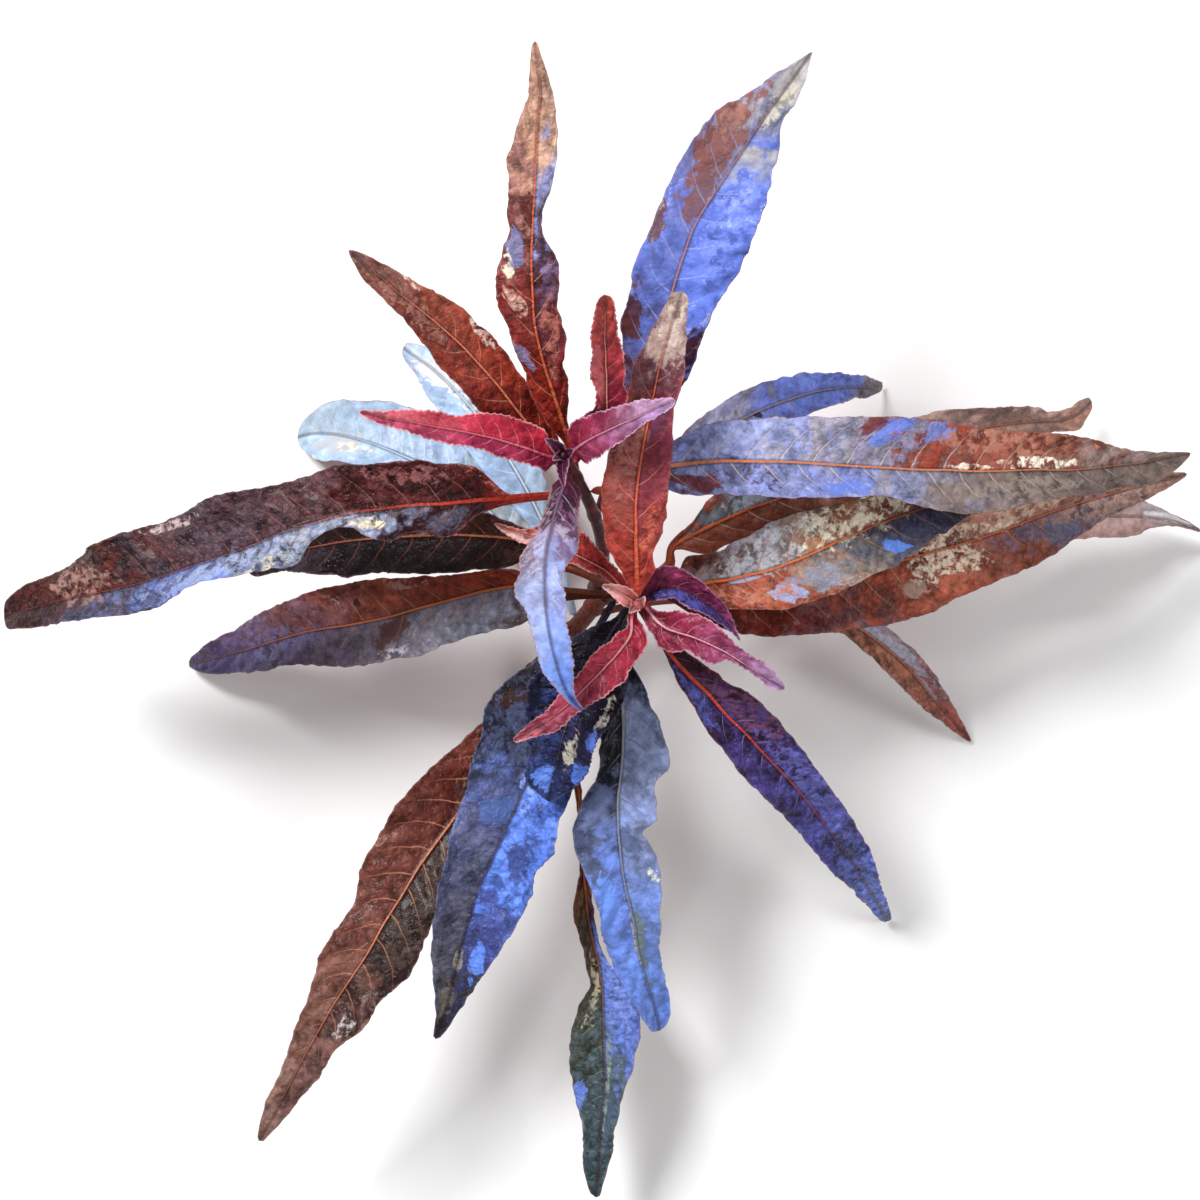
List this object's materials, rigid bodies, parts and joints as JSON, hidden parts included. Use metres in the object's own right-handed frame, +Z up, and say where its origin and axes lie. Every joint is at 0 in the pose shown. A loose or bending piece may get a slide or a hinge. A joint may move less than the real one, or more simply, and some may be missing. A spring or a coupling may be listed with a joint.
{
  "type": "purple hygrophila salicifolia",
  "caption": "Cut branch of a willow-leaved water plant: a short stem forks into shoots with long arching wavy leaves round young crowns, to dress a planted tank or a table.",
  "frame": {"origin": "on the surface that the cutting rests on, below the middle of its bounding box", "axes": "+Z up, from the surface to the crowns of young leaves; +Y to the top of the picture, +X to its right"},
  "size_m": [0.2656, 0.243, 0.1023],
  "materials": {
    "stem": "satin",
    "dark_bud": "satin",
    "pale_bud": "satin",
    "young_leaf": "glossy",
    "lavender_leaf": "glossy",
    "red_leaf": "glossy",
    "copper_leaf": "glossy",
    "brown_leaf": "glossy",
    "dark_leaf": "glossy",
    "blue_leaf": "glossy",
    "plum_leaf": "glossy",
    "grey_leaf": "glossy",
    "tan_leaf": "glossy",
    "pale_leaf": "glossy"
  },
  "bodies": {
    "root": {"main_stem": "stem", "tall_shoot": "stem", "low_shoot": "stem", "tall_bud": "dark_bud", "low_bud": "pale_bud", "leaf_young_left": "young_leaf", "leaf_young_right": "young_leaf", "leaf_young_top": "young_leaf", "leaf_young_low_right": "young_leaf", "leaf_young_low_left": "young_leaf", "leaf_folded": "young_leaf", "leaf_lavender": "lavender_leaf", "leaf_small_red": "red_leaf", "leaf_red_rib": "red_leaf", "leaf_upper_left": "red_leaf", "leaf_top": "copper_leaf", "leaf_right_glossy": "copper_leaf", "leaf_right_long": "copper_leaf", "leaf_bottom_left": "brown_leaf", "leaf_left_low": "brown_leaf", "leaf_left_long": "brown_leaf", "leaf_left_dark": "dark_leaf", "leaf_crumpled": "dark_leaf", "leaf_right_upper": "blue_leaf", "leaf_top_right": "blue_leaf", "leaf_right_blue": "blue_leaf", "leaf_bottom_grey": "blue_leaf", "leaf_bottom_blue": "blue_leaf", "leaf_bottom_right": "plum_leaf", "leaf_bottom": "grey_leaf", "leaf_right_back": "tan_leaf", "leaf_right_far": "tan_leaf", "leaf_right_low": "tan_leaf", "leaf_upper_left_pale": "pale_leaf", "leaf_left_pale": "pale_leaf"}
  },
  "joints": []
}
